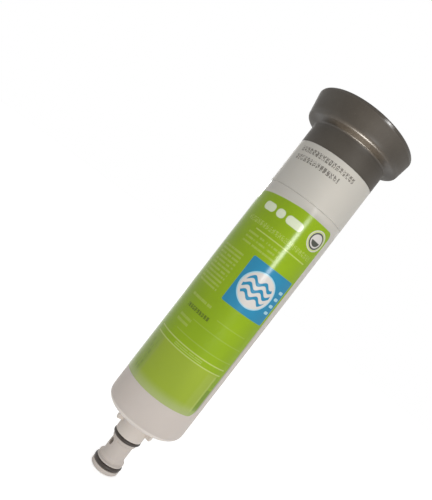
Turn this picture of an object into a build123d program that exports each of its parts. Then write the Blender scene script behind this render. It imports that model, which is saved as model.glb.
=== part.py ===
from build123d import *
import math
import os

# Water purifier filter cartridge: a welded plastic housing with a plug-in spigot below and a flared handle
# on top, holding a carbon block in a melt-blown sleeve. Heights are measured from the seat face, the flat
# underside of the housing around the neck. The front of the label faces -Y. All sizes are in millimetres.

# Housing tube
body_radius = 30.0
body_wall = 2.6
seam_height = 184.2
shoulder_round = 7.0
floor_thickness = 2.8

# Weld between the housing and the end cap
tongue_length = 6.0
tongue_wall = 1.3
weld_gap = 0.05
seam_bevel = 0.35

# Neck and spigot below the seat face
pilot_radius = 16.3
pilot_height = 3.0
pilot_bevel = 0.5
neck_radius = 10.6
neck_wall = 2.4
spigot_radius = 8.3
spigot_wall = 2.1
retainer_radius = 9.3
retainer_height = 1.8
tip_radius = 10.6
tip_height = 3.2
tip_bevel = 0.6
cone_length = 2.6
cone_step = 0.4
land_radius = 10.0
land_height = 2.4

# Seal rings on the spigot, in grooves a little longer than the ring is thick
seal_thickness = 2.85
seal_bore_radius = 8.02
seal_fit = 0.02
groove_play = 0.5
upper_seal_drop = 17.5
seal_spacing = 21.9

# Bayonet lugs on the neck, left and right
lug_count = 2
lug_radius = 14.9
lug_thickness = 4.6
lug_drop = 9.6
lug_sweep = 50.0
lug_ramp = 8.0
lug_edge_round = 0.6

# Water inlets through the spigot wall, and the outlet tube on the axis
port_count = 2
port_width = 4.2
port_height = 4.8
port_offset = 7.6
port_turn = 213.0
port_corner = 1.4
outlet_radius = 3.2
outlet_wall = 1.4
outlet_floor = 8.0
socket_radius = 5.0
socket_wall = 2.0
socket_depth = 8.8

# Ribs on the housing floor that carry the filter element
rib_count = 6
rib_height = 7.2
rib_thickness = 1.8

# End cap, welded on the housing, with a neck that the handle snaps on
cap_height = 33.8
cap_draft = 0.15
cap_neck_gap = 2.6
cap_neck_height = 12.2
cap_plate = 2.6
cap_edge_round = 0.8
snap_drop = 5.0
snap_width = 1.4
snap_depth = 0.9
hold_down_length = 21.0
hold_down_thickness = 1.8
hold_down_inset = 6.0

# Handle: a collar that continues the end cap, a flange and a flared bowl with a slightly slanted rim
handle_play = 0.1
handle_wall = 2.3
handle_floor = 2.4
crease_rise = 15.7
crease_round = 1.3
lip_reach = 7.5
lip_rise = 2.3
lip_round = 2.8
rim_flare = 2.7
rim_rise = 33.4
rim_slant = 4.0
rim_high_turn = 235.0
rim_round = 0.9
bowl_round = 2.0
bead_height = 0.6
key_count = 3
key_width = 6.0
key_depth = 1.2
key_play = 0.15

# Label film around the tube
label_bottom = 24.8
label_top_margin = 6.0
label_thickness = 0.2
label_glue = 0.02
label_edge_turn = -31.5
label_wrap = 300.0
label_corner = 5.0

# Filter element
water_gap = 1.0
core_radius = 6.5
sleeve_thickness = 3.1
element_fit = 0.05
element_cap_plate = 2.4
element_cap_rim = 3.5
element_cap_wall = 1.1
element_plug = 3.0
element_play = 0.1
nipple_radius = 4.9
nipple_bore = 2.2
nipple_play = 0.4
nipple_bevel = 0.5
nipple_seal_thickness = 1.6
nipple_seal_fit = 0.02
nipple_seal_rise = 3.0
nipple_groove_play = 0.4

# Places worked out from the sizes above
inner_radius = body_radius - body_wall
tongue_radius = inner_radius + tongue_wall
tongue_top = seam_height + tongue_length
pilot_inner_radius = pilot_radius - body_wall
neck_bore = neck_radius - neck_wall
spigot_bore = spigot_radius - spigot_wall
groove_radius = seal_bore_radius - seal_fit
groove_half = (seal_thickness + groove_play) / 2
lower_seal_drop = upper_seal_drop + seal_spacing
port_drop = upper_seal_drop + port_offset
tip_drop = lower_seal_drop + groove_half + tip_height
outlet_outer = outlet_radius + outlet_wall
socket_outer = socket_radius + socket_wall
rib_top = floor_thickness + rib_height
socket_floor = rib_top - socket_depth
label_height = seam_height - label_top_margin - label_bottom
cap_shoulder = seam_height + cap_height
cap_top_radius = body_radius - cap_draft
cap_neck_radius = cap_top_radius - cap_neck_gap
cap_top = cap_shoulder + cap_neck_height
cap_inner_top = cap_top - cap_plate
snap_height = cap_top - snap_drop
collar_bottom = cap_shoulder + handle_play
collar_bore = cap_neck_radius + handle_play
floor_underside = cap_top + handle_play
crease_height = collar_bottom + crease_rise
lip_height = crease_height + lip_rise
lip_radius = cap_top_radius + lip_reach
rim_radius = lip_radius + rim_flare
rim_height = collar_bottom + rim_rise
element_bottom = rib_top + element_cap_plate + element_fit
upper_cap_top = cap_inner_top - hold_down_length - element_play
element_top = upper_cap_top - element_cap_plate - element_fit
element_cap_radius = inner_radius - water_gap
element_cap_bore = element_cap_radius - element_cap_wall
sleeve_radius = element_cap_bore - element_fit
sleeve_bore = sleeve_radius - sleeve_thickness
block_radius = sleeve_bore - element_fit


def turned(rows):
    """A solid turned about the Z axis from (radius, height, corner rounding) rows of a closed outline."""
    corners = [(radius, 0, height) for radius, height, rounding in rows]
    roundings = [rounding for radius, height, rounding in rows]
    return revolve(make_face(FilletPolyline(*corners, radius=roundings, close=True)), Axis.Z)


def around(piece, count, first_turn=0.0):
    """Copies of a piece, evenly spaced around the Z axis."""
    return [Rot(Z=first_turn + 360 * i / count) * piece for i in range(count)]


def radial_box(inner, outer, width, bottom, top):
    """A box that runs outwards along +X from the inner to the outer radius."""
    middle = Pos((inner + outer) / 2, 0, (bottom + top) / 2)
    return middle * Box(outer - inner, width, top - bottom)


def groove_rows(drop, land_below, land_above):
    """The part of the spigot's outline that makes one seal groove, from its lower to its upper edge."""
    return [
        (land_below, -drop - groove_half, 0),
        (groove_radius, -drop - groove_half, 0),
        (groove_radius, -drop + groove_half, 0),
        (land_above, -drop + groove_half, 0),
    ]


def housing_shell():
    """Tube, floor, neck, spigot and outlet tube: one moulding, turned from one outline."""
    retainer_bottom = -upper_seal_drop - groove_half - retainer_height
    cone_bottom = -lower_seal_drop + groove_half + land_height
    step_height = -pilot_height + body_wall
    neck_bore_bottom = -upper_seal_drop + groove_half + neck_wall
    annulus_bottom = -tip_drop + outlet_floor
    spigot_outside = [
        (outlet_radius, -tip_drop, 0),
        (tip_radius - tip_bevel, -tip_drop, 0),
        (tip_radius, -tip_drop + tip_bevel, 0),
        *groove_rows(lower_seal_drop, tip_radius, land_radius),
        (land_radius, cone_bottom, 0),
        (land_radius - cone_step, cone_bottom, 0),
        (spigot_radius, cone_bottom + cone_length, 0),
        (spigot_radius, retainer_bottom - (retainer_radius - spigot_radius), 0),
        (retainer_radius, retainer_bottom, 0),
        *groove_rows(upper_seal_drop, retainer_radius, neck_radius),
        (neck_radius, -pilot_height, 0),
    ]
    tube_outside = [
        (pilot_radius - pilot_bevel, -pilot_height, 0),
        (pilot_radius, -pilot_height + pilot_bevel, 0),
        (pilot_radius, 0, 0),
        (body_radius, 0, shoulder_round),
        (body_radius, seam_height - seam_bevel, 0),
        (body_radius - seam_bevel, seam_height, 0),
        (tongue_radius, seam_height, 0),
        (tongue_radius, tongue_top, 0),
    ]
    tube_inside = [
        (inner_radius, tongue_top, 0),
        (inner_radius, floor_thickness, shoulder_round - body_wall),
        (pilot_inner_radius, floor_thickness, 0),
        (pilot_inner_radius, step_height, 0),
        (neck_bore, step_height, 0),
        (neck_bore, neck_bore_bottom, 0),
        (spigot_bore, neck_bore_bottom - (neck_bore - spigot_bore), 0),
        (spigot_bore, annulus_bottom, 0),
    ]
    outlet_tube = [
        (outlet_outer, annulus_bottom, 0),
        (outlet_outer, socket_floor - (socket_outer - outlet_outer), 0),
        (socket_outer, socket_floor, 0),
        (socket_outer, rib_top, 0),
        (socket_radius, rib_top, 0),
        (socket_radius, socket_floor, 0),
        (outlet_radius, socket_floor, 0),
    ]
    return turned(spigot_outside + tube_outside + tube_inside + outlet_tube)


def lug():
    """One bayonet lug, centred on +X, with a ramp on its upper, bearing side."""
    root = (neck_radius + neck_bore) / 2
    section = Plane.XZ * Pos((root + lug_radius) / 2, lug_thickness / 2 - lug_drop)
    face = section * Rectangle(lug_radius - root, lug_thickness)
    body = Rot(Z=-lug_sweep / 2) * revolve(face, Axis.Z, lug_sweep)
    body = fillet(body.edges().filter_by(Axis.Z).group_by(SortBy.DISTANCE)[-1], lug_edge_round)
    reach = 2 * lug_radius
    lead_in = Pos(0, 0, lug_thickness - lug_drop) * Rot(X=-lug_ramp) * Pos(reach / 2, reach / 2, reach / 2)
    return body - lead_in * Box(reach, reach, reach)


def port_cutter():
    """One inlet slot along +X, through the spigot wall and short of the outlet tube."""
    start = (outlet_outer + spigot_bore) / 2
    plane = Plane(origin=(start, 0, -port_drop), x_dir=(0, 1, 0), z_dir=(1, 0, 0))
    return extrude(plane * RectangleRounded(port_width, port_height, port_corner), spigot_radius)


def floor_rib():
    """One rib on the housing floor along +X, rooted half a wall deep in the floor, shoulder and tube."""
    root_radius = inner_radius + body_wall / 2
    root_height = floor_thickness / 2
    blank = radial_box(pilot_inner_radius, root_radius, rib_thickness, root_height, rib_top)
    room = turned([
        (0, root_height, 0),
        (root_radius, root_height, shoulder_round - body_wall / 2),
        (root_radius, rib_top, 0),
        (0, rib_top, 0),
    ])
    return blank & room


def housing():
    """The welded cartridge's main moulding."""
    shell = housing_shell() + around(lug(), lug_count) + around(floor_rib(), rib_count, 180 / rib_count)
    return shell - around(port_cutter(), port_count, port_turn)


def end_cap():
    """The cover that is welded on the tube and carries the handle."""
    cap_inner_radius = cap_top_radius - body_wall
    neck_inner_radius = cap_neck_radius - body_wall
    inner_step = cap_shoulder - body_wall
    snap_bottom = snap_height - snap_width / 2
    snap_top = snap_height + snap_width / 2
    shell = turned([
        (tongue_radius + weld_gap, seam_height, 0),
        (body_radius - seam_bevel, seam_height, 0),
        (body_radius, seam_height + seam_bevel, 0),
        (cap_top_radius, cap_shoulder, 0),
        (cap_neck_radius, cap_shoulder, 0),
        (cap_neck_radius, snap_bottom - snap_depth, 0),
        (cap_neck_radius - snap_depth, snap_bottom, 0),
        (cap_neck_radius - snap_depth, snap_top, 0),
        (cap_neck_radius, snap_top + snap_depth, 0),
        (cap_neck_radius, cap_top, cap_edge_round),
        (0, cap_top, 0),
        (0, cap_inner_top, 0),
        (neck_inner_radius, cap_inner_top, cap_edge_round),
        (neck_inner_radius, inner_step, 0),
        (cap_inner_radius, inner_step - (cap_inner_radius - neck_inner_radius), 0),
        (cap_inner_radius, tongue_top + weld_gap, 0),
        (tongue_radius + weld_gap, tongue_top + weld_gap, 0),
    ])
    fin = radial_box(hold_down_inset, neck_inner_radius + body_wall / 2, hold_down_thickness,
                     upper_cap_top + element_play, cap_inner_top + cap_plate / 2)
    keyway = radial_box(cap_neck_radius - key_depth, cap_top_radius, key_width, cap_shoulder, cap_top)
    return shell + around(fin, rib_count, 180 / rib_count) - around(keyway, key_count, -90)


def handle():
    """Collar, flange and flared bowl in one moulding, with a snap bead and keys inside the collar."""
    flare = (rim_radius - lip_radius) / (rim_height - lip_height)
    overrun = 2 * rim_radius * math.tan(math.radians(rim_slant))
    raw_top = rim_height + overrun
    raw_radius = rim_radius + flare * overrun
    flange_top = lip_height + handle_wall / 2
    bowl_radius = lip_radius + flare * (flange_top - lip_height) - handle_wall
    floor_top = floor_underside + handle_floor
    bead_bottom = snap_height - snap_width / 2
    bead_top = snap_height + snap_width / 2
    shell = turned([
        (collar_bore, collar_bottom, 0),
        (cap_top_radius, collar_bottom, 0),
        (cap_top_radius, crease_height, crease_round),
        (lip_radius, lip_height, lip_round),
        (raw_radius, raw_top, 0),
        (raw_radius - handle_wall, raw_top, 0),
        (bowl_radius, flange_top, bowl_round),
        (cap_neck_radius, flange_top, bowl_round),
        (cap_neck_radius, floor_top, bowl_round),
        (0, floor_top, 0),
        (0, floor_underside, 0),
        (collar_bore, floor_underside, 0),
        (collar_bore, bead_top + bead_height, 0),
        (collar_bore - bead_height, bead_top, 0),
        (collar_bore - bead_height, bead_bottom, 0),
        (collar_bore, bead_bottom - bead_height, 0),
    ])
    key = radial_box(cap_neck_radius - key_depth + key_play, (collar_bore + cap_top_radius) / 2,
                     key_width - 2 * key_play, collar_bottom + key_depth, floor_underside + handle_floor / 2)
    shell = shell + around(key, key_count, -90)
    rim_plane = Pos(0, 0, rim_height) * Rot(Z=rim_high_turn) * Rot(Y=-rim_slant)
    size = 3 * rim_radius
    shell = shell - rim_plane * Pos(0, 0, size / 2) * Box(size, size, size)
    rim_face = shell.faces().sort_by(Axis.Z)[-1]
    return fillet(rim_face.edges(), min(rim_round, 0.45 * handle_wall))


def label():
    """The printed film, open along a strip at the right side, with rounded corners."""
    inner = body_radius + label_glue
    outer = inner + label_thickness
    section = Plane.XZ * Pos((inner + outer) / 2, label_bottom + label_height / 2)
    film = revolve(section * Rectangle(label_thickness, label_height), Axis.Z, label_wrap)
    corner = Rectangle(2 * label_corner, 2 * label_corner)
    for side in (-1, 1):
        for level in (-1, 1):
            spare = corner - Pos(-side * label_corner, -level * label_corner) * Circle(label_corner)
            spare = spare - Pos(-side * 2 * label_corner, 0) * Rectangle(2 * label_corner, 4 * label_corner)
            spare = spare - Pos(0, -level * 2 * label_corner) * Rectangle(4 * label_corner, 2 * label_corner)
            height = label_bottom + (label_height if level > 0 else 0)
            turn = label_wrap if side > 0 else 0
            plane = Plane(origin=(inner - 1, 0, height), x_dir=(0, 1, 0), z_dir=(1, 0, 0))
            film = film - Rot(Z=turn) * extrude(plane * spare, label_thickness + 2)
    return Rot(Z=label_edge_turn - label_wrap) * film


def seal_ring(bore, thickness, height):
    """A rubber ring of round section, lying flat at a height."""
    return Pos(0, 0, height) * Torus(bore + thickness / 2, thickness / 2)


def tube(bore, radius, bottom, top):
    """A plain tube about the Z axis."""
    return turned([(bore, bottom, 0), (radius, bottom, 0), (radius, top, 0), (bore, top, 0)])


def lower_element_cap():
    """Cap glued on the block's lower end, with the nipple that plugs into the outlet socket."""
    nipple_end = socket_floor + nipple_play
    groove_bottom = nipple_end + nipple_seal_rise - (nipple_seal_thickness + nipple_groove_play) / 2
    groove_top = groove_bottom + nipple_seal_thickness + nipple_groove_play
    groove_floor = socket_radius - nipple_seal_thickness - 2 * nipple_seal_fit
    plate_top = rib_top + element_cap_plate
    return turned([
        (nipple_bore, nipple_end, 0),
        (nipple_radius - nipple_bevel, nipple_end, 0),
        (nipple_radius, nipple_end + nipple_bevel, 0),
        (nipple_radius, groove_bottom, 0),
        (groove_floor, groove_bottom, 0),
        (groove_floor, groove_top, 0),
        (nipple_radius, groove_top, 0),
        (nipple_radius, rib_top, 0),
        (element_cap_radius, rib_top, 0),
        (element_cap_radius, plate_top + element_cap_rim, 0),
        (element_cap_bore, plate_top + element_cap_rim, 0),
        (element_cap_bore, plate_top, 0),
        (core_radius - element_fit, plate_top, 0),
        (core_radius - element_fit, plate_top + element_plug, 0),
        (nipple_bore, plate_top + element_plug, 0),
    ])


def upper_element_cap():
    """Closed cap glued on the block's upper end."""
    underside = element_top + element_fit
    return turned([
        (0, underside - element_plug, 0),
        (core_radius - element_fit, underside - element_plug, 0),
        (core_radius - element_fit, underside, 0),
        (element_cap_bore, underside, 0),
        (element_cap_bore, underside - element_cap_rim, 0),
        (element_cap_radius, underside - element_cap_rim, 0),
        (element_cap_radius, upper_cap_top, 0),
        (0, upper_cap_top, 0),
    ])


def nipple_seal():
    """The small ring that seals the element's nipple in the outlet socket."""
    bore = socket_radius - nipple_seal_thickness - nipple_seal_fit
    return seal_ring(bore, nipple_seal_thickness, socket_floor + nipple_play + nipple_seal_rise)


nodes = {
    "housing": housing(),
    "end_cap": end_cap(),
    "handle": handle(),
    "label": label(),
    "spigot_seal_upper": seal_ring(seal_bore_radius, seal_thickness, -upper_seal_drop),
    "spigot_seal_lower": seal_ring(seal_bore_radius, seal_thickness, -lower_seal_drop),
    "carbon_block": tube(core_radius, block_radius, element_bottom, element_top),
    "sediment_sleeve": tube(sleeve_bore, sleeve_radius, element_bottom, element_top),
    "element_cap_lower": lower_element_cap(),
    "element_cap_upper": upper_element_cap(),
    "nipple_seal": nipple_seal(),
}

os.makedirs("parts", exist_ok=True)
for name, shape in nodes.items():
    export_step(shape, f"parts/{name}.step")
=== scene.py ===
# Water purifier filter cartridge: finishes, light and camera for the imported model.
# The frame is in metres, with +Z up the axis towards the handle and the label's front facing -Y.
# Print on the label is laid out in millimetres: around = along the tube from its front line, positive
# to the right, and height = above the seat face.
import math
from collections import namedtuple

import bpy
from mathutils import Matrix, Vector


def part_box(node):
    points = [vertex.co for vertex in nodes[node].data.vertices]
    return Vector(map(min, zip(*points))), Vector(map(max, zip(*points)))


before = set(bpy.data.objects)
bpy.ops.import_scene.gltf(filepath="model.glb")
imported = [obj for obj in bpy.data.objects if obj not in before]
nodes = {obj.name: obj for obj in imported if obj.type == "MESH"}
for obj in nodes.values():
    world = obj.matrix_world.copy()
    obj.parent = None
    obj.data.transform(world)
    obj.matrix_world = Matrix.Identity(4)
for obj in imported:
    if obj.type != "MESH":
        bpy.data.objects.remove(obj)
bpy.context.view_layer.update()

# Sizes read from the frame
BODY_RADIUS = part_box("housing")[1].x
TIP_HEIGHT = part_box("housing")[0].z
LABEL_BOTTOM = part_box("label")[0].z * 1000
LABEL_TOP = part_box("label")[1].z * 1000
HALF_ROUND = math.pi * BODY_RADIUS * 1000
FLANGE_RISE = 16.9
RIM_RISE = 35.7
FLANGE_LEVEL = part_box("handle")[0].z * 1000 + FLANGE_RISE
RIM_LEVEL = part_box("handle")[0].z * 1000 + RIM_RISE
LABEL_RIGHT = 30.6

# Camera, worked out from the parallel edges and ring ellipses of the cartridge in the photograph
IMAGE_WIDTH = 432
IMAGE_HEIGHT = 500
AXIS_FOOT_PIXEL = (261.1, 263.5)
FOCAL_PIXELS = 508.0
CAMERA_DISTANCE = 0.354
CAMERA_HEIGHT = 0.1342
CAMERA_ROLL = math.atan2(0.6125, 0.7905)
SENSOR_MM = 36.0

# Colours, linear
WHITE_UPPER = (0.587, 0.562, 0.508, 1)
WHITE_LOWER = (0.68, 0.61, 0.56, 1)
# Neck and the edge above it: painted light from below and a painted highlight
NECK_PAINTED_LIGHT = (0.76, 0.69, 0.63, 1)
EDGE_PAINTED_HIGHLIGHT = (0.93, 0.85, 0.79, 1)
WHITE_SPIGOT = (0.66, 0.595, 0.545, 1)
WHITE_DULL = (0.52, 0.48, 0.43, 1)
# Painted shade line above the spigot's lower ring
SHADE_LINE_PAINTED = (0.40, 0.355, 0.32, 1)
GREY_HANDLE = (0.036, 0.027, 0.017, 1)
GREY_HANDLE_PALE = (0.051, 0.041, 0.029, 1)
GREY_FLECK = (0.16, 0.145, 0.125, 1)
GREEN = (0.28, 0.43, 0.003, 1)
GREEN_DEEP = (0.235, 0.375, 0.002, 1)
GREEN_SHADE = (0.17, 0.275, 0.006, 1)
# Lower zone of the label: print with a painted reflection in it, lighter at the front and greyer at the sides
OLIVE_WITH_REFLECTION = (0.35, 0.445, 0.040, 1)
OLIVE_GREY_WITH_REFLECTION = (0.30, 0.375, 0.085, 1)
OLIVE_SHADE = (0.155, 0.22, 0.035, 1)
# Pale olive of the label's foot: print partly standing for a painted reflection
PALE_OLIVE_WITH_REFLECTION = (0.58, 0.60, 0.42, 1)
BARE_FILM = (0.60, 0.57, 0.51, 1)
PALE_GREEN = (0.52, 0.62, 0.17, 1)
PRINT_WHITE = (0.78, 0.82, 0.66, 1)
BLUE = (0.022, 0.24, 0.42, 1)
PALE_BLUE = (0.36, 0.62, 0.72, 1)
PANEL_WHITE = (0.66, 0.63, 0.60, 1)
STAMP = (0.075, 0.115, 0.004, 1)
EMBLEM_GREY = (0.075, 0.08, 0.065, 1)
# Green-grey of the painted shade beside the film's right edge
EDGE_SHADE_PAINTED = (0.24, 0.28, 0.11, 1)
CODE_INK = (0.105, 0.092, 0.078, 1)
FILM_EDGE = (0.55, 0.58, 0.40, 1)
BLACK_RUBBER = (0.042, 0.031, 0.024, 1)
RUBBER_BLOOM = (0.085, 0.075, 0.068, 1)
CARBON = (0.012, 0.012, 0.013, 1)
FIBRE = (0.80, 0.80, 0.77, 1)
ELEMENT_WHITE = (0.66, 0.66, 0.64, 1)
CARBON_PALE = (0.03, 0.03, 0.031, 1)
FIBRE_SHADE = (0.70, 0.70, 0.67, 1)
ELEMENT_SHADE = (0.60, 0.60, 0.58, 1)
FLOOR_GREY = (0.80, 0.80, 0.80, 1)
PLAIN_WHITE = (1, 1, 1, 1)

# Soft light from all round, and the glow that makes the lit floor as white as the background
SKY_GREY = (0.56, 0.56, 0.56, 1)
FLOOR_LIFT = 0.57

# Floor: its reach and its gap under the tip, in metres, and the corners of its round edge
FLOOR_RADIUS = 3.0
FLOOR_GAP = 0.0003
FLOOR_SIDES = 64

# Tones of the housing by height in millimetres, each a pair between which one tone passes into the next; the
# paler neck is painted light from below, and the pale edge above it a painted highlight
PINK_TO_WHITE = (10.0, 190.0)
NECK_TOP = (0.5, 3.0)
EDGE_FOOT = (0.1, 0.5)
EDGE_TOP = (3.4, 4.6)
SPIGOT_TOP = (-20.0, -17.0)
# Painted shade line above the spigot's lower ring: its level, the half widths of its soft edge, and its
# strength
SHADE_LINE_LEVEL = -36.2
SHADE_LINE_HALF = (0.3, 0.9)
SHADE_LINE_SHARE = 0.45

# Painted shade beside the film's right edge: how far it reaches from the film's edge, how strong it is and
# where it ends above and below
EDGE_SHADE_REACH = (0.9, 3.2)
EDGE_SHADE_SHARE = 0.75
EDGE_SHADE_TOP = (70.0, 130.0)
EDGE_SHADE_FOOT = (1.0, 7.0)

# Smooth band of the housing above the label
BAND_SOFT = 0.5
BAND_POLISH = 0.32

# Code rows on the end cap: level and right end of each, then what they share
CODE_ROWS = ((212.2, 16.0), (205.8, 7.0))
CODE_LEFT = -30.0
CODE_HALF = 2.2
CODE_TALL = 3.8
CODE_CELL = 2.75
CODE_COVER = 0.66
CODE_SHARE = 0.95

# Dots in one cell of a code mark, and the soft edges of cell, row and dot as shares of their pitch
DOTS_ACROSS = 5.0
DOTS_UP = 6.0
CELL_HALF = (0.36, 0.42)
ROW_HALF = (0.48, 0.52)
DOT_RADIUS = (0.42, 0.60)

# Rubbed places of the handle: distance from flange or rim, loss of roughness, and the front that hands reach
FLANGE_RUB = (1.6, 6.0)
FLANGE_POLISH = 0.20
RIM_RUB = (1.9, 3.4)
RIM_POLISH = 0.42
RIM_SLOPE = -0.073
GRIP_FRONT = (28.0, 42.0)

# Depth of the moulded grain, in metres
GRAIN_DEPTH = 0.0002


class Graph:
    """Short ways to add and join nodes in one node tree."""

    def __init__(self, tree):
        self.tree = tree

    def add(self, kind, settings=None, inputs=None):
        node = self.tree.nodes.new(kind)
        for name, value in (settings or {}).items():
            setattr(node, name, value)
        for name, value in (inputs or {}).items():
            self.feed(node.inputs[name], value)
        return node

    def feed(self, socket, value):
        if isinstance(value, bpy.types.NodeSocket):
            self.tree.links.new(value, socket)
        else:
            socket.default_value = value

    def calc(self, operation, *values):
        node = self.add("ShaderNodeMath", {"operation": operation})
        for socket, value in zip(node.inputs, values):
            self.feed(socket, value)
        return node.outputs[0]

    def mix(self, share, first, second):
        node = self.add("ShaderNodeMix", {"data_type": "RGBA"})
        self.feed(node.inputs[0], share)
        self.feed(node.inputs[6], first)
        self.feed(node.inputs[7], second)
        return node.outputs[2]

    def step(self, value, low, high, start=0.0, end=1.0):
        node = self.add("ShaderNodeMapRange", {"interpolation_type": "SMOOTHSTEP"})
        for socket, item in zip(node.inputs, (value, low, high, start, end)):
            self.feed(socket, item)
        return node.outputs[0]

    def fall(self, value, low, high, top=1.0):
        return self.step(value, low, high, top, 0.0)

    def product(self, *values):
        result = values[0]
        for value in values[1:]:
            result = self.calc("MULTIPLY", result, value)
        return result

    def vector(self, x, y, z):
        return self.add("ShaderNodeCombineXYZ", None, {"X": x, "Y": y, "Z": z}).outputs[0]

    def noise(self, where, scale, detail=2.0, roughness=0.5):
        inputs = {"Vector": where, "Scale": scale, "Detail": detail, "Roughness": roughness}
        return self.add("ShaderNodeTexNoise", None, inputs).outputs[0]

    def use(self, group, inputs=None):
        node = self.add("ShaderNodeGroup", {"node_tree": group})
        for name, value in (inputs or {}).items():
            self.feed(node.inputs[name], value)
        return node


def new_group(name, inputs, outputs):
    """An empty node group with float inputs and outputs; returns its graph and its two end nodes."""
    tree = bpy.data.node_groups.new(name, "ShaderNodeTree")
    for label in inputs:
        tree.interface.new_socket(label, in_out="INPUT", socket_type="NodeSocketFloat")
    for label in outputs:
        tree.interface.new_socket(label, in_out="OUTPUT", socket_type="NodeSocketFloat")
    return Graph(tree), tree.nodes.new("NodeGroupInput"), tree.nodes.new("NodeGroupOutput")


def wrap_position_group():
    """Place on the tube: millimetres around from the front line, and height in millimetres."""
    graph, _, end = new_group("wrap_position", [], ["Around", "Height"])
    place = graph.add("ShaderNodeTexCoord").outputs["Object"]
    axes = graph.add("ShaderNodeSeparateXYZ", None, {0: place})
    turn = graph.calc("ARCTAN2", axes.outputs[0], graph.calc("MULTIPLY", axes.outputs[1], -1.0))
    graph.feed(end.inputs["Around"], graph.calc("MULTIPLY", turn, BODY_RADIUS * 1000))
    graph.feed(end.inputs["Height"], graph.calc("MULTIPLY", axes.outputs[2], 1000.0))
    return graph.tree


def rounded_field_group():
    """Mask of a rectangle with rounded corners, given by its centre, half sizes, corner and soft edge."""
    names = ["Around", "Height", "Middle", "Level", "Half Width", "Half Height", "Corner", "Soft"]
    graph, start, end = new_group("rounded_field", names, ["Mask"])
    reach = []
    for place, middle, half in (("Around", "Middle", "Half Width"), ("Height", "Level", "Half Height")):
        offset = graph.calc("SUBTRACT", start.outputs[place], start.outputs[middle])
        inner = graph.calc("SUBTRACT", start.outputs[half], start.outputs["Corner"])
        outside = graph.calc("SUBTRACT", graph.calc("ABSOLUTE", offset), inner)
        reach.append(graph.calc("MAXIMUM", outside, 0.0))
    squares = [graph.calc("MULTIPLY", value, value) for value in reach]
    away = graph.calc("SQRT", graph.calc("ADD", *squares))
    distance = graph.calc("SUBTRACT", away, start.outputs["Corner"])
    below = graph.calc("MULTIPLY", start.outputs["Soft"], -1.0)
    graph.feed(end.inputs["Mask"], graph.step(distance, below, start.outputs["Soft"], 1.0, 0.0))
    return graph.tree


def broken_lines_group():
    """Rows of fine print that can't be read: lines at a pitch, broken into uneven words."""
    names = ["Around", "Height", "Base", "Pitch", "Share", "Word", "Cover"]
    graph, start, end = new_group("broken_lines", names, ["Mask"])
    above = graph.calc("SUBTRACT", start.outputs["Height"], start.outputs["Base"])
    row = graph.calc("DIVIDE", above, start.outputs["Pitch"])
    number = graph.calc("FLOOR", row)
    part = graph.calc("ABSOLUTE", graph.calc("SUBTRACT", graph.calc("FRACT", row), 0.5))
    half = graph.calc("MULTIPLY", start.outputs["Share"], 0.5)
    line = graph.step(part, graph.calc("SUBTRACT", half, 0.08), graph.calc("ADD", half, 0.08), 1.0, 0.0)
    along = graph.calc("DIVIDE", start.outputs["Around"], start.outputs["Word"])
    place = graph.vector(along, graph.calc("MULTIPLY", number, 7.31), 0.0)
    words = graph.noise(place, 1.0, 3.0, 0.7)
    limit = graph.calc("SUBTRACT", 1.0, start.outputs["Cover"])
    solid = graph.step(words, graph.calc("SUBTRACT", limit, 0.05), graph.calc("ADD", limit, 0.05))
    graph.feed(end.inputs["Mask"], graph.calc("MULTIPLY", line, solid))
    return graph.tree


def code_marks_group():
    """A row of ink-jet marks that can't be read: cells of round dots, some left out, with gaps between."""
    names = ["Around", "Height", "Level", "Tall", "Cell", "Cover"]
    graph, start, end = new_group("code_marks", names, ["Mask"])
    across = graph.calc("DIVIDE", start.outputs["Around"], start.outputs["Cell"])
    part = graph.calc("ABSOLUTE", graph.calc("SUBTRACT", graph.calc("FRACT", across), 0.5))
    in_cell = graph.fall(part, *CELL_HALF)
    above = graph.calc("SUBTRACT", start.outputs["Height"], start.outputs["Level"])
    up = graph.calc("DIVIDE", above, start.outputs["Tall"])
    in_row = graph.fall(graph.calc("ABSOLUTE", up), *ROW_HALF)
    column = graph.calc("MULTIPLY", across, DOTS_ACROSS)
    row = graph.calc("MULTIPLY", graph.calc("ADD", up, 0.5), DOTS_UP)
    offsets = [graph.calc("SUBTRACT", graph.calc("FRACT", value), 0.5) for value in (column, row)]
    squares = [graph.calc("MULTIPLY", value, value) for value in offsets]
    dot = graph.fall(graph.calc("SQRT", graph.calc("ADD", *squares)), *DOT_RADIUS)
    chance = graph.add("ShaderNodeTexWhiteNoise", {"noise_dimensions": "3D"})
    numbers = [graph.calc("FLOOR", value) for value in (column, row)]
    graph.feed(chance.inputs["Vector"], graph.vector(*numbers, start.outputs["Level"]))
    inked = graph.calc("LESS_THAN", chance.outputs["Value"], start.outputs["Cover"])
    graph.feed(end.inputs["Mask"], graph.product(in_cell, in_row, dot, inked))
    return graph.tree


def moulded_surface_group():
    """Slow tone, fine grain and faint scuffs of moulded plastic; the sizes are in millimetres."""
    outputs = ["Tone", "Grain", "Scuff"]
    graph, start, end = new_group("moulded_surface", ["Tone Size", "Grain Size"], outputs)
    place = graph.add("ShaderNodeTexCoord").outputs["Object"]
    tone = graph.noise(place, graph.calc("DIVIDE", 1000.0, start.outputs["Tone Size"]), 3.0, 0.55)
    grain = graph.noise(place, graph.calc("DIVIDE", 1000.0, start.outputs["Grain Size"]), 2.0, 0.6)
    stretched = graph.add("ShaderNodeMapping", None, {"Vector": place})
    stretched.inputs["Scale"].default_value = (1.0, 1.0, 0.06)
    stretched.inputs["Rotation"].default_value = (0.25, 0.1, 0.0)
    scuff = graph.noise(stretched.outputs[0], 900.0, 4.0, 0.75)
    graph.feed(end.inputs["Tone"], tone)
    graph.feed(end.inputs["Grain"], grain)
    graph.feed(end.inputs["Scuff"], graph.step(scuff, 0.62, 0.78))
    return graph.tree


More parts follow.
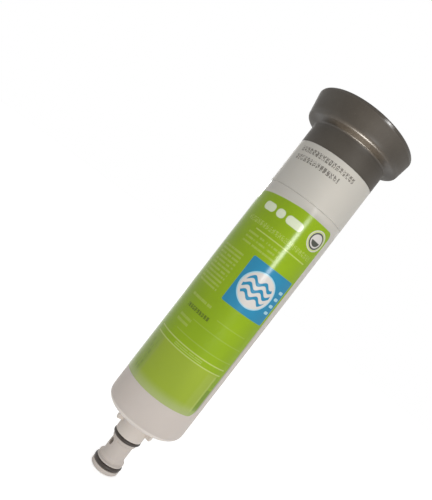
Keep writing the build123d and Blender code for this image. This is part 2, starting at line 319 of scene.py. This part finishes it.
WRAP = wrap_position_group()
ROUNDED = rounded_field_group()
LINES = broken_lines_group()
MARKS = code_marks_group()
MOULDED = moulded_surface_group()


def new_material(name):
    """A material with one principled shader; returns it, its graph and the shader."""
    material = bpy.data.materials.new(name)
    material.use_nodes = True
    graph = Graph(material.node_tree)
    return material, graph, material.node_tree.nodes["Principled BSDF"]


def roughen(graph, shader, surface, low, high, bump, depth=GRAIN_DEPTH, polish=0.0):
    """Roughness that follows the scuffs, less where it is polished, and a bump from the grain."""
    rough = graph.add("ShaderNodeMapRange", None, {0: surface.outputs["Scuff"], 3: low, 4: high})
    graph.feed(shader.inputs["Roughness"], graph.calc("SUBTRACT", rough.outputs[0], polish))
    grain = graph.add("ShaderNodeBump", None, {"Strength": bump, "Distance": depth})
    graph.feed(grain.inputs["Height"], surface.outputs["Grain"])
    graph.feed(shader.inputs["Normal"], grain.outputs[0])


def field_mask(graph, wrap, left, right, bottom, top, corner=0.3, soft=0.12):
    """Mask of one printed rectangle between two places around and two heights."""
    group = graph.use(ROUNDED, {
        "Around": wrap.outputs["Around"], "Height": wrap.outputs["Height"],
        "Middle": (left + right) / 2, "Level": (bottom + top) / 2,
        "Half Width": (right - left) / 2, "Half Height": (top - bottom) / 2,
        "Corner": corner, "Soft": soft,
    })
    return group.outputs["Mask"]


def lines_mask(graph, wrap, base, pitch, share, word, cover):
    """Mask of unreadable fine print over the whole surface, with its rows counted from a base height."""
    group = graph.use(LINES, {
        "Around": wrap.outputs["Around"], "Height": wrap.outputs["Height"],
        "Base": base, "Pitch": pitch, "Share": share, "Word": word, "Cover": cover,
    })
    return group.outputs["Mask"]


def marks_mask(graph, wrap, level, tall, cell, cover):
    """Mask of one row of ink-jet dots around the whole surface."""
    group = graph.use(MARKS, {
        "Around": wrap.outputs["Around"], "Height": wrap.outputs["Height"],
        "Level": level, "Tall": tall, "Cell": cell, "Cover": cover,
    })
    return group.outputs["Mask"]


def spigot_tones(graph, height, colour):
    """The paler neck as painted light, with the painted highlight of the pale edge above it, the spigot, and
    the painted shade line above its lower ring.
    """
    colour = graph.mix(graph.fall(height, *NECK_TOP), colour, NECK_PAINTED_LIGHT)
    edge = graph.product(graph.step(height, *EDGE_FOOT), graph.fall(height, *EDGE_TOP))
    colour = graph.mix(edge, colour, EDGE_PAINTED_HIGHLIGHT)
    colour = graph.mix(graph.fall(height, *SPIGOT_TOP), colour, WHITE_SPIGOT)
    # Painted shade line above the lower ring
    away = graph.calc("ABSOLUTE", graph.calc("SUBTRACT", height, SHADE_LINE_LEVEL))
    return graph.mix(graph.fall(away, *SHADE_LINE_HALF, SHADE_LINE_SHARE), colour, SHADE_LINE_PAINTED)


def painted_edge_shade(graph, wrap):
    """Mask of painted green-grey shade along the film's right edge, beside the lower half of the print."""
    around, height = wrap.outputs["Around"], wrap.outputs["Height"]
    line = graph.fall(around, *(LABEL_RIGHT + reach for reach in EDGE_SHADE_REACH), EDGE_SHADE_SHARE)
    on_right = graph.step(around, 0.0, 1.0)
    low = graph.fall(height, *EDGE_SHADE_TOP)
    above = graph.step(height, *(LABEL_BOTTOM + rise for rise in EDGE_SHADE_FOOT))
    return graph.product(line, on_right, low, above)


def code_rows(graph, wrap, colour):
    """Adds the rows of ink-jet marks."""
    for level, right in CODE_ROWS:
        row = marks_mask(graph, wrap, level, CODE_TALL, CODE_CELL, CODE_COVER)
        place = field_mask(graph, wrap, CODE_LEFT, right, level - CODE_HALF, level + CODE_HALF)
        colour = graph.mix(graph.product(row, place, CODE_SHARE), colour, CODE_INK)
    return colour


def white_plastic(name, coded):
    """Satin warm white, pinker towards the spigot, with painted light at the neck and painted shade near the
    spigot; with code rows, or smoother above the label with painted shade beside the film's edge.
    """
    material, graph, shader = new_material(name)
    wrap = graph.use(WRAP)
    height = wrap.outputs["Height"]
    surface = graph.use(MOULDED, {"Tone Size": 38.0, "Grain Size": 0.55})
    colour = graph.mix(graph.step(height, *PINK_TO_WHITE), WHITE_LOWER, WHITE_UPPER)
    # The neck and the pale edge above it are painted light from below; the line above the spigot's lower ring
    # is painted shade
    colour = spigot_tones(graph, height, colour)
    tone = graph.step(surface.outputs["Tone"], 0.3, 0.7, 0.0, 0.10)
    colour = graph.mix(tone, colour, WHITE_DULL)
    if coded:
        colour = code_rows(graph, wrap, colour)
        polish = 0.0
    else:
        # Painted shade beside the film's right edge, darkening the strip at the side
        colour = graph.mix(painted_edge_shade(graph, wrap), colour, EDGE_SHADE_PAINTED)
        polish = graph.step(height, LABEL_TOP - BAND_SOFT, LABEL_TOP + BAND_SOFT, 0.0, BAND_POLISH)
    graph.feed(shader.inputs["Base Color"], colour)
    roughen(graph, shader, surface, low=0.48, high=0.58, bump=0.12, polish=polish)
    shader.inputs["Specular IOR Level"].default_value = 0.18
    shader.inputs["Subsurface Weight"].default_value = 0.08
    shader.inputs["Subsurface Radius"].default_value = (0.004, 0.003, 0.002)
    shader.inputs["Subsurface Scale"].default_value = 1.0
    return material


def handle_plastic():
    """Warm dark grey with a fine eroded grain, rubbed smoother by hands at the front of flange and rim."""
    material, graph, shader = new_material("handle_plastic")
    surface = graph.use(MOULDED, {"Tone Size": 22.0, "Grain Size": 0.45})
    tone = graph.step(surface.outputs["Tone"], 0.3, 0.7)
    colour = graph.mix(tone, GREY_HANDLE, GREY_HANDLE_PALE)
    fleck = graph.step(surface.outputs["Grain"], 0.62, 0.72, 0.0, 0.25)
    graph.feed(shader.inputs["Base Color"], graph.mix(fleck, colour, GREY_FLECK))
    wrap = graph.use(WRAP)
    around, height = wrap.outputs["Around"], wrap.outputs["Height"]
    away = graph.calc("ABSOLUTE", graph.calc("SUBTRACT", height, FLANGE_LEVEL))
    in_front = graph.fall(graph.calc("ABSOLUTE", around), *GRIP_FRONT)
    rim = graph.calc("ADD", graph.calc("MULTIPLY", around, RIM_SLOPE), RIM_LEVEL)
    below = graph.calc("SUBTRACT", rim, height)
    on_flange = graph.fall(away, *FLANGE_RUB, FLANGE_POLISH)
    on_rim = graph.fall(below, *RIM_RUB, RIM_POLISH)
    rubbed = graph.product(graph.calc("ADD", on_flange, on_rim), in_front)
    roughen(graph, shader, surface, low=0.61, high=0.69, bump=0.15, polish=rubbed)
    shader.inputs["Specular IOR Level"].default_value = 0.6
    return material


Field = namedtuple("Field", "left right bottom top corner soft colour share")

# Plain fields of the label's print, from the bottom layer up
PLAIN_FIELDS = [
    # The first three fields, the lighter olive zone below the double line and its greyer sides, are print with
    # a painted reflection in it
    Field(-23.0, 25.6, LABEL_BOTTOM - 6, 57.9, 0.5, 0.9, OLIVE_WITH_REFLECTION, 0.85),
    Field(-HALF_ROUND - 6, -22.0, LABEL_BOTTOM - 6, 57.9, 0.5, 2.2, OLIVE_GREY_WITH_REFLECTION, 0.75),
    Field(40.0, HALF_ROUND + 6, LABEL_BOTTOM - 6, 57.9, 0.5, 2.2, OLIVE_GREY_WITH_REFLECTION, 0.75),
    Field(18.0, 25.4, 28.5, 56.5, 0.6, 2.0, PALE_GREEN, 0.20),
    Field(24.4, 26.0, 28.5, 56.5, 0.6, 0.6, PALE_GREEN, 0.40),
    Field(26.1, 30.4, 29.5, 46.5, 0.6, 0.3, GREEN_SHADE, 0.85),
    Field(-33.0, 27.5, 57.9, 58.7, 0.2, 0.2, PALE_GREEN, 0.9),
    Field(-33.0, 27.5, 62.4, 63.2, 0.2, 0.2, PALE_GREEN, 0.9),
    Field(-19.0, 29.0, 68.2, 68.8, 0.2, 0.3, PALE_GREEN, 0.28),
    Field(-13.0, 28.0, 79.1, 79.7, 0.2, 0.3, PALE_GREEN, 0.25),
    Field(0.0, 24.0, 88.0, 88.6, 0.2, 0.3, PALE_GREEN, 0.25),
    Field(-17.5, 25.0, 150.1, 150.9, 0.2, 0.2, PALE_GREEN, 0.8),
    Field(-6.6, 28.4, 101.0, 136.1, 1.2, 0.25, BLUE, 1.0),
    Field(-23.9, -14.5, 164.4, 170.4, 2.6, 0.3, PRINT_WHITE, 0.85),
    Field(-12.8, -6.6, 164.4, 170.4, 2.6, 0.3, PRINT_WHITE, 0.85),
    Field(-4.9, 7.7, 164.4, 170.4, 2.6, 0.3, PRINT_WHITE, 0.85),
]

# Discs and rings of the emblem and of the panel's window, from the bottom layer up
Ring = namedtuple("Ring", "middle level outer inner colour")
EMBLEM = (21.3, 167.5)
WINDOW = (8.6, 118.3)
RINGS = [
    Ring(*EMBLEM, 7.6, 0.0, PANEL_WHITE),
    Ring(*EMBLEM, 6.9, 6.2, PALE_GREEN),
    Ring(*EMBLEM, 6.0, 4.9, EMBLEM_GREY),
    Ring(*WINDOW, 13.0, 0.0, PALE_BLUE),
    Ring(*WINDOW, 12.2, 0.0, PANEL_WHITE),
]

# The emblem's half-filled disc, the window's ripples, and the bars beside the window
EMBLEM_DISC = 3.9
RIPPLE_FIELD = 10.6
RIPPLE_RISES = (-5.4, 0.0, 5.4)
RIPPLE_PERIOD = 9.0
RIPPLE_SWING = 1.5
RIPPLE_HALF = 1.3
RIPPLE_SOFT = 0.2
BAR_RISES = (-8.0, -2.7, 2.7, 8.0)
BAR_LEFT = 14.6
BAR_RIGHT = 18.4
BAR_HALF = 1.1
BAR_CORNER = 1.0

# Print paling towards the label's foot, partly a painted reflection, and the bare margin that dips along its
# top
FADE_HEIGHT = 9.0
FADE_SHARE = 0.42
DIP_SLOPE = 0.09
DIP_MOST = -3.4
DIP_START = (0.3, 40.0)
MARGIN = 0.1
MARGIN_SOFT = 0.3

# Blocks of unreadable fine print: place, then pitch, line share, word length, cover and strength
Block = namedtuple("Block", "left right bottom top pitch share word cover strength")
TEXT_BLOCKS = [
    Block(-21.0, 6.0, 138.2, 148.4, 3.4, 0.40, 2.4, 0.56, 0.42),
    Block(-32.5, -12.5, 101.4, 133.0, 2.85, 0.48, 2.6, 0.58, 0.45),
    Block(-27.0, -8.0, 90.6, 94.0, 3.4, 0.55, 2.2, 0.56, 0.42),
    Block(-24.5, -13.0, 71.6, 79.6, 3.6, 0.50, 2.4, 0.58, 0.35),
    Block(-13.4, 9.0, 59.2, 61.8, 1.3, 0.55, 1.6, 0.60, 0.50),
    Block(-84.0, -44.0, 136.0, 164.5, 2.85, 0.42, 2.4, 0.55, 0.45),
    Block(-84.0, -44.0, 101.0, 129.5, 2.85, 0.42, 2.4, 0.55, 0.45),
    Block(-84.0, -44.0, 66.0, 94.5, 2.85, 0.42, 2.4, 0.55, 0.45),
]

# Rows of coarser marks on the label: ends, level, height and width of a mark, cover, colour and share
Row = namedtuple("Row", "left right level tall cell cover colour share")
MARK_ROWS = [
    Row(-29.0, 26.5, 155.2, 3.6, 2.5, 0.62, PALE_GREEN, 0.60),
    Row(-24.0, -4.0, 85.0, 2.8, 2.1, 0.85, STAMP, 1.0),
    Row(26.1, 30.4, 52.5, 9.0, 1.6, 0.60, GREEN_SHADE, 0.8),
    Row(-31.5, -24.5, 41.5, 24.0, 3.4, 0.60, OLIVE_SHADE, 0.45),
]


def label_print():
    """Printed gloss film: fields of colour, rings, ripples and unreadable print on a green ground."""
    material, graph, shader = new_material("label_print")
    wrap = graph.use(WRAP)
    surface = graph.use(MOULDED, {"Tone Size": 45.0, "Grain Size": 0.8})
    tone = graph.step(surface.outputs["Tone"], 0.3, 0.7, 0.0, 0.6)
    colour = graph.mix(tone, GREEN, GREEN_DEEP)
    for field in PLAIN_FIELDS:
        mask = field_mask(graph, wrap, *field[:6])
        colour = graph.mix(graph.calc("MULTIPLY", mask, field.share), colour, field.colour)
    for block in TEXT_BLOCKS:
        mask = field_mask(graph, wrap, *block[:4])
        print_mask = lines_mask(graph, wrap, block.bottom, *block[4:8])
        share = graph.product(mask, print_mask, block.strength)
        colour = graph.mix(share, colour, PALE_GREEN)
    for row in MARK_ROWS:
        marks = marks_mask(graph, wrap, *row[2:6])
        place = field_mask(graph, wrap, row.left, row.right, row.level - row.tall, row.level + row.tall)
        share = graph.product(marks, place, row.share)
        colour = graph.mix(share, colour, row.colour)
    colour = rings_and_ripples(graph, wrap, colour)
    colour = pale_margins(graph, wrap, colour)
    graph.feed(shader.inputs["Base Color"], graph.mix(film_edge(graph), colour, FILM_EDGE))
    roughen(graph, shader, surface, low=0.17, high=0.26, bump=0.03)
    shader.inputs["Specular IOR Level"].default_value = 0.24
    return material


def ripple_mask(graph, wrap, level):
    """Mask of one wavy stroke around the tube at a level."""
    turn = graph.calc("MULTIPLY", wrap.outputs["Around"], 2 * math.pi / RIPPLE_PERIOD)
    swing = graph.calc("MULTIPLY", graph.calc("SINE", turn), RIPPLE_SWING)
    shifted = graph.calc("SUBTRACT", wrap.outputs["Height"], swing)
    away = graph.calc("ABSOLUTE", graph.calc("SUBTRACT", shifted, level))
    return graph.fall(away, RIPPLE_HALF - RIPPLE_SOFT, RIPPLE_HALF + RIPPLE_SOFT)


def disc_mask(graph, wrap, middle, level, radius):
    """Mask of a round printed disc."""
    return field_mask(graph, wrap, middle - radius, middle + radius, level - radius, level + radius, radius)


def rings_and_ripples(graph, wrap, colour):
    """Adds the half-filled round emblem, the panel's round window with its ripples, and bars."""
    for ring in RINGS:
        mask = disc_mask(graph, wrap, ring.middle, ring.level, ring.outer)
        if ring.inner:
            hole = disc_mask(graph, wrap, ring.middle, ring.level, ring.inner)
            mask = graph.calc("SUBTRACT", mask, hole)
        colour = graph.mix(mask, colour, ring.colour)
    middle, level = EMBLEM
    disc = disc_mask(graph, wrap, middle, level, EMBLEM_DISC)
    lower = graph.fall(wrap.outputs["Height"], level - 0.5, level)
    colour = graph.mix(graph.product(disc, lower), colour, EMBLEM_GREY)
    middle, level = WINDOW
    window = disc_mask(graph, wrap, middle, level, RIPPLE_FIELD)
    for rise in RIPPLE_RISES:
        stroke = ripple_mask(graph, wrap, level + rise)
        colour = graph.mix(graph.product(stroke, window), colour, BLUE)
    for rise in BAR_RISES:
        ends = (middle + BAR_LEFT, middle + BAR_RIGHT)
        heights = (level + rise - BAR_HALF, level + rise + BAR_HALF)
        colour = graph.mix(field_mask(graph, wrap, *ends, *heights, BAR_CORNER), colour, PALE_BLUE)
    return colour


def pale_margins(graph, wrap, colour):
    """Pales the print towards the film's foot, partly a painted reflection, and leaves a bare margin where it
    runs skew along the top.
    """
    around, height = wrap.outputs["Around"], wrap.outputs["Height"]
    # The print pales towards the foot, partly a painted reflection
    faded = graph.fall(height, LABEL_BOTTOM, LABEL_BOTTOM + FADE_HEIGHT, FADE_SHARE)
    colour = graph.mix(faded, colour, PALE_OLIVE_WITH_REFLECTION)
    dip = graph.calc("MULTIPLY", graph.calc("MINIMUM", around, 0.0), DIP_SLOPE)
    kept = graph.step(around, *(place - HALF_ROUND for place in DIP_START))
    dip = graph.product(graph.calc("MAXIMUM", dip, DIP_MOST), kept)
    edge = graph.calc("ADD", dip, LABEL_TOP - MARGIN)
    above = graph.calc("SUBTRACT", height, edge)
    return graph.mix(graph.step(above, -MARGIN_SOFT, MARGIN_SOFT), colour, BARE_FILM)


def film_edge(graph):
    """Mask of the film's cut edge: the faces that don't look straight out from the axis."""
    place = graph.add("ShaderNodeTexCoord").outputs["Object"]
    flat = graph.add("ShaderNodeVectorMath", {"operation": "MULTIPLY"}, {0: place, 1: (1.0, 1.0, 0.0)})
    out = graph.add("ShaderNodeVectorMath", {"operation": "NORMALIZE"}, {0: flat.outputs[0]})
    facing = graph.add("ShaderNodeNewGeometry").outputs["True Normal"]
    along = graph.add("ShaderNodeVectorMath", {"operation": "DOT_PRODUCT"}, {0: out.outputs[0], 1: facing})
    return graph.fall(along.outputs["Value"], 0.5, 0.7)


def rubber():
    """Dark seal rubber with a slight bloom."""
    material, graph, shader = new_material("seal_rubber")
    surface = graph.use(MOULDED, {"Tone Size": 6.0, "Grain Size": 0.3})
    bloom = graph.step(surface.outputs["Tone"], 0.4, 0.75, 0.0, 0.35)
    graph.feed(shader.inputs["Base Color"], graph.mix(bloom, BLACK_RUBBER, RUBBER_BLOOM))
    roughen(graph, shader, surface, low=0.42, high=0.6, bump=0.1, depth=0.0001)
    return material


def plain_inner(name, colour, shade, grain_size, rough, bump):
    """Finish of a piece inside the housing: a grainy colour between two tones."""
    material, graph, shader = new_material(name)
    surface = graph.use(MOULDED, {"Tone Size": 12.0, "Grain Size": grain_size})
    share = graph.step(surface.outputs["Grain"], 0.35, 0.65)
    graph.feed(shader.inputs["Base Color"], graph.mix(share, colour, shade))
    roughen(graph, shader, surface, low=rough - 0.05, high=rough + 0.05, bump=bump, depth=0.0005)
    return material


def dress():
    """Gives every node its finish."""
    seal = rubber()
    element = plain_inner("element_plastic", ELEMENT_WHITE, ELEMENT_SHADE, grain_size=0.5, rough=0.5, bump=0.1)
    carbon = plain_inner("carbon", CARBON, CARBON_PALE, grain_size=0.6, rough=0.85, bump=0.5)
    fibre = plain_inner("melt_blown_fibre", FIBRE, FIBRE_SHADE, grain_size=0.35, rough=0.9, bump=0.6)
    finishes = {
        "housing": white_plastic("housing_plastic", False),
        "end_cap": white_plastic("end_cap_plastic", True),
        "handle": handle_plastic(),
        "label": label_print(),
        "spigot_seal_upper": seal,
        "spigot_seal_lower": seal,
        "nipple_seal": seal,
        "carbon_block": carbon,
        "sediment_sleeve": fibre,
        "element_cap_lower": element,
        "element_cap_upper": element,
    }
    for name, material in finishes.items():
        mesh = nodes[name].data
        mesh.materials.clear()
        mesh.materials.append(material)


def seen_directly(graph):
    """1 for rays from the camera and for those that gloss or glass sends on, 0 for soft light."""
    path = graph.add("ShaderNodeLightPath").outputs
    bounced = graph.calc("MAXIMUM", path["Is Glossy Ray"], path["Is Transmission Ray"])
    return graph.calc("MAXIMUM", path["Is Camera Ray"], bounced)


def floor_material():
    """Pale matt floor with a glow, for the eye alone, that lifts it to the white of the background."""
    material, graph, shader = new_material("pale_floor")
    shader.inputs["Base Color"].default_value = FLOOR_GREY
    shader.inputs["Roughness"].default_value = 0.9
    glow = graph.add("ShaderNodeEmission", None, {"Color": PLAIN_WHITE})
    graph.feed(glow.inputs["Strength"], graph.calc("MULTIPLY", seen_directly(graph), FLOOR_LIFT))
    both = graph.add("ShaderNodeAddShader", None, {0: shader.outputs[0], 1: glow.outputs[0]})
    graph.feed(material.node_tree.nodes["Material Output"].inputs["Surface"], both.outputs[0])
    return material


def floor():
    """A wide round floor under the spigot's tip."""
    mesh = bpy.data.meshes.new("floor")
    turns = [math.tau * side / FLOOR_SIDES for side in range(FLOOR_SIDES)]
    ring = [(FLOOR_RADIUS * math.cos(turn), FLOOR_RADIUS * math.sin(turn), 0) for turn in turns]
    mesh.from_pydata(ring, [], [list(range(FLOOR_SIDES))])
    mesh.materials.append(floor_material())
    thing = bpy.data.objects.new("floor", mesh)
    thing.location.z = TIP_HEIGHT - FLOOR_GAP
    bpy.context.scene.collection.objects.link(thing)


def sky():
    """Even soft light from all round, seen by the camera as plain white."""
    world = bpy.data.worlds.new("studio")
    world.use_nodes = True
    graph = Graph(world.node_tree)
    background = world.node_tree.nodes["Background"]
    graph.feed(background.inputs["Color"], graph.mix(seen_directly(graph), SKY_GREY, PLAIN_WHITE))
    bpy.context.scene.world = world


# Lamps: a window to the right of the front, one for the far side, and a warm one under the flange.
# Places, aims and sizes are in metres, power in watts and spread in degrees; a small spread is a narrow beam.
Lamp = namedtuple("Lamp", "name shape place aim size power spread colour")
WINDOW_TURN = math.radians(28.0)
WINDOW_PLACE = (math.sin(WINDOW_TURN), -math.cos(WINDOW_TURN), 0.206)
LOW_PLACE = (0.028, -0.045, TIP_HEIGHT + 0.004)
LOW_AIM = (0.003, -0.037, FLANGE_LEVEL / 1000)
NEUTRAL = (1.0, 1.0, 1.0)
WARM = (1.0, 0.93, 0.85)
LAMPS = [
    Lamp("window", "SQUARE", WINDOW_PLACE, (0, 0, 0.18), 0.17, 3.0, 180.0, NEUTRAL),
    Lamp("far_side", "SQUARE", (-0.35, 1.0, 0.45), (0, 0, 0.10), 0.35, 1.8, 180.0, NEUTRAL),
    Lamp("low_lamp", "DISK", LOW_PLACE, LOW_AIM, 0.028, 0.0080, 11.5, WARM),
]


def lights():
    """Sets up the lamps."""
    for lamp in LAMPS:
        light = bpy.data.lights.new(lamp.name, "AREA")
        light.shape = lamp.shape
        light.size = lamp.size
        light.energy = lamp.power
        light.color = lamp.colour
        light.spread = math.radians(lamp.spread)
        thing = bpy.data.objects.new(lamp.name, light)
        thing.location = lamp.place
        aim = Vector(lamp.aim) - Vector(lamp.place)
        thing.rotation_euler = aim.to_track_quat("-Z", "Y").to_euler()
        bpy.context.scene.collection.objects.link(thing)


def camera():
    """The photograph's camera: level with the tube, rolled so that the cartridge leans in the frame."""
    data = bpy.data.cameras.new("camera")
    data.sensor_width = SENSOR_MM
    data.lens = FOCAL_PIXELS * SENSOR_MM / IMAGE_HEIGHT
    data.shift_x = (IMAGE_WIDTH / 2 - AXIS_FOOT_PIXEL[0]) / IMAGE_HEIGHT
    data.shift_y = (AXIS_FOOT_PIXEL[1] - IMAGE_HEIGHT / 2) / IMAGE_HEIGHT
    data.clip_start = 0.01
    thing = bpy.data.objects.new("camera", data)
    right = Vector((math.cos(CAMERA_ROLL), 0, math.sin(CAMERA_ROLL)))
    up = Vector((-math.sin(CAMERA_ROLL), 0, math.cos(CAMERA_ROLL)))
    back = Vector((0, -1, 0))
    turn = Matrix((right, up, back)).transposed().to_4x4()
    thing.matrix_world = Matrix.Translation((0, -CAMERA_DISTANCE, CAMERA_HEIGHT)) @ turn
    bpy.context.scene.collection.objects.link(thing)
    bpy.context.scene.camera = thing


dress()
floor()
sky()
lights()
camera()
bpy.context.scene.view_settings.view_transform = "Standard"
